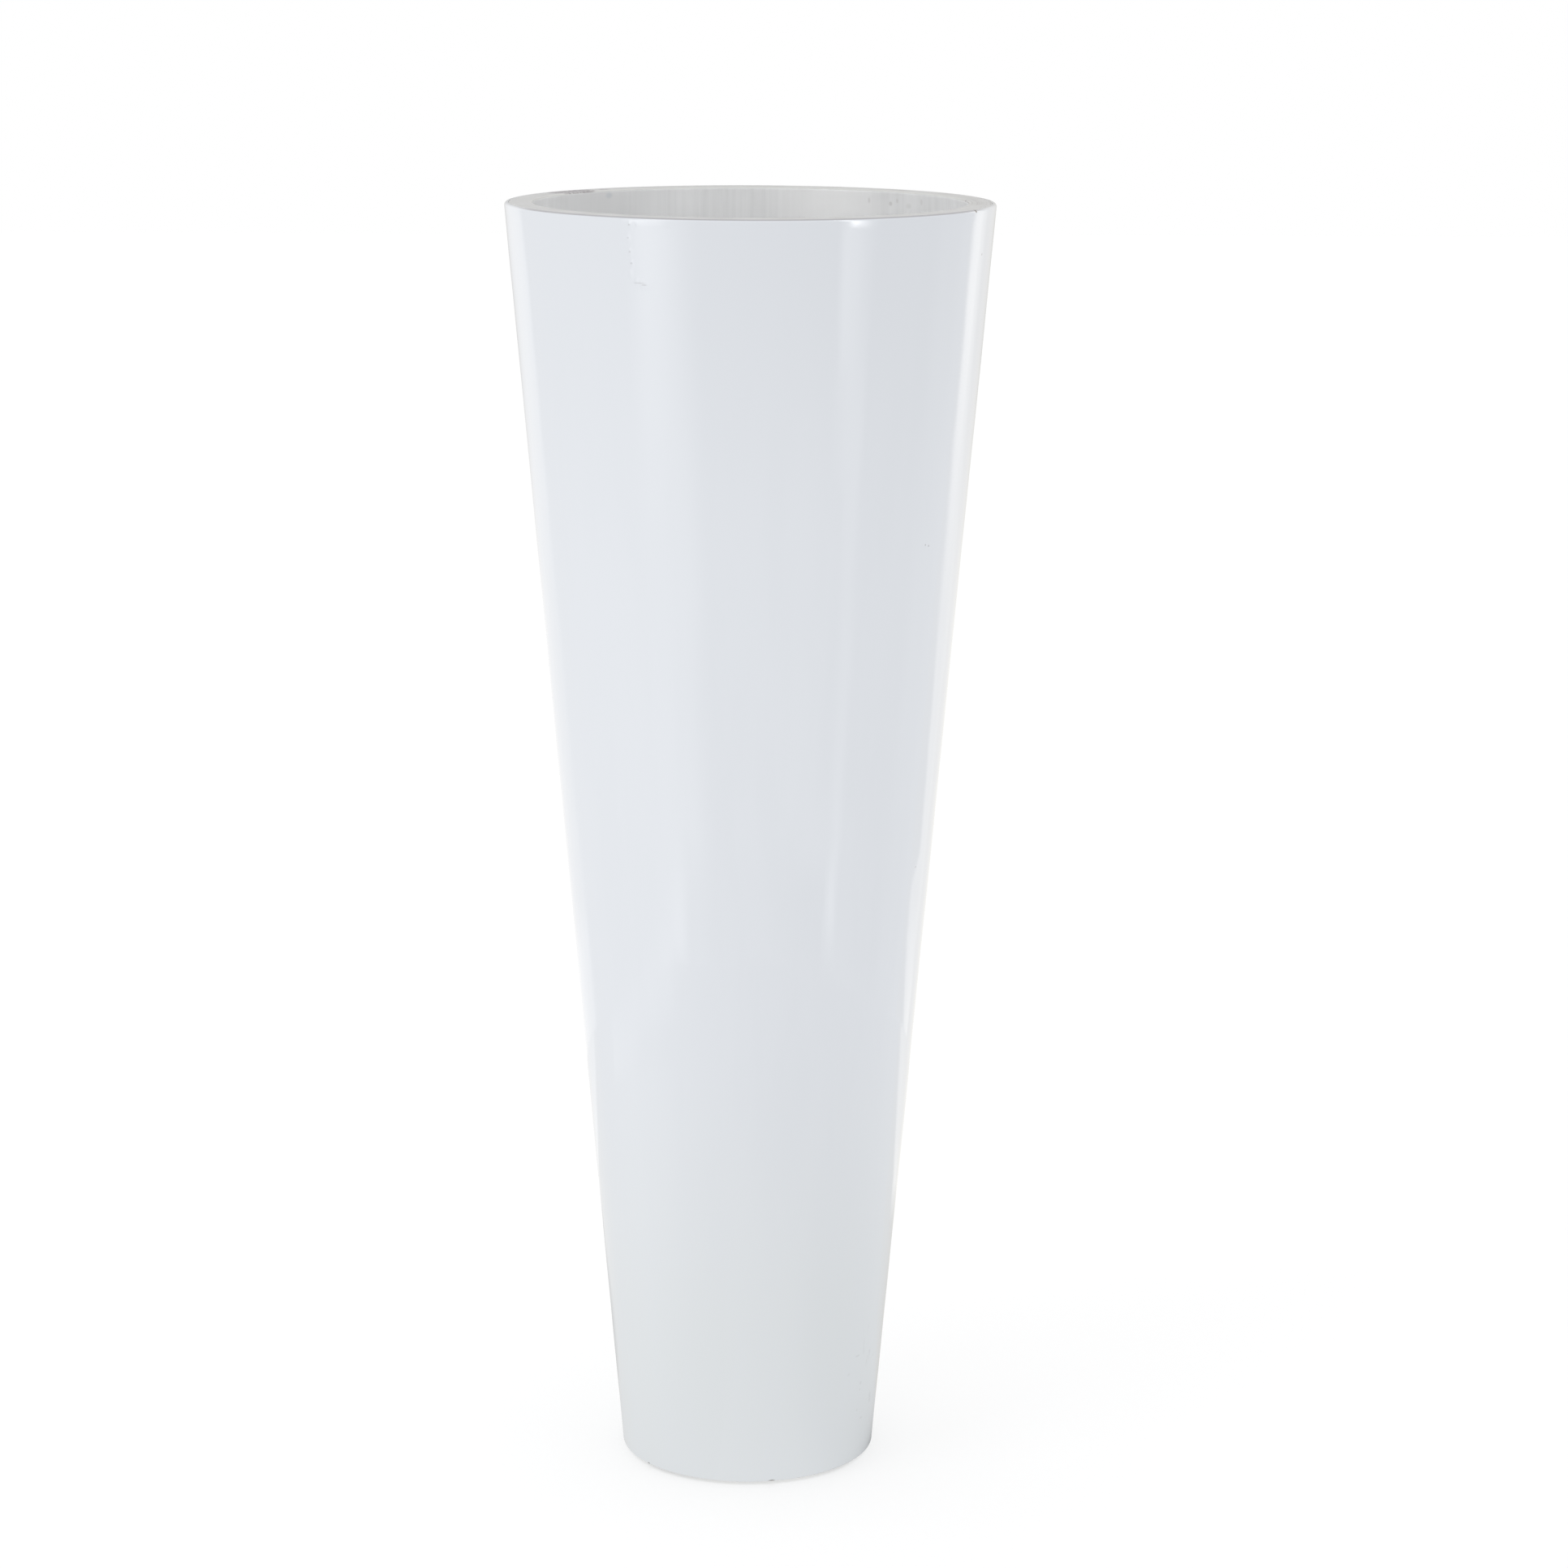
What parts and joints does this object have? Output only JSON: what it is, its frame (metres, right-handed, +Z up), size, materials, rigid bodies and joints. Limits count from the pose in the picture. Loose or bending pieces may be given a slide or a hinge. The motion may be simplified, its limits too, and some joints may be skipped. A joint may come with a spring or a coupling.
{
  "type": "floor vase",
  "caption": "Tall round tapered fibreglass floor vase, wide end up, with a flat rim, open mouth, lift-out planting shelf, weighted floor, drain plug and rubber feet.",
  "frame": {"origin": "on the floor, at the centre of the foot", "axes": "+Z up along the vase's axis, towards the mouth; +X through one of the shelf's finger holes"},
  "size_m": [0.4493, 0.4494, 1.2],
  "materials": {
    "gelcoat": "glossy cool white gelcoat, faintly wavy",
    "raw_laminate": "brushed grey topcoat over bare glass laminate",
    "hoop_timber": "bare plywood",
    "shelf_board": "fine-grained dark plastic board",
    "ballast_concrete": "cast concrete",
    "sleeve_plastic": "grey plastic tube",
    "black_rubber": "matt black rubber"
  },
  "bodies": {
    "vase": {"outer_shell": "gelcoat", "rim_ring": "gelcoat", "rim_core_hoop": "hoop_timber", "shelf_ledge": "raw_laminate", "base_pan": "raw_laminate", "ballast_disc": "ballast_concrete", "drain_sleeve": "sleeve_plastic", "foot_pad_1": "black_rubber", "foot_pad_2": "black_rubber", "foot_pad_3": "black_rubber", "foot_pad_4": "black_rubber"},
    "shelf": {"planting_shelf": "shelf_board"},
    "plug": {"drain_plug": "black_rubber"}
  },
  "joints": [
    {"name": "shelf_lift", "type": "slide", "parent": "vase", "child": "shelf", "axis": [0, 0, 1], "range_m": [0, 0.42]},
    {"name": "plug_pull", "type": "slide", "parent": "vase", "child": "plug", "axis": [0, 0, -1], "range_m": [0, 0.04]}
  ]
}
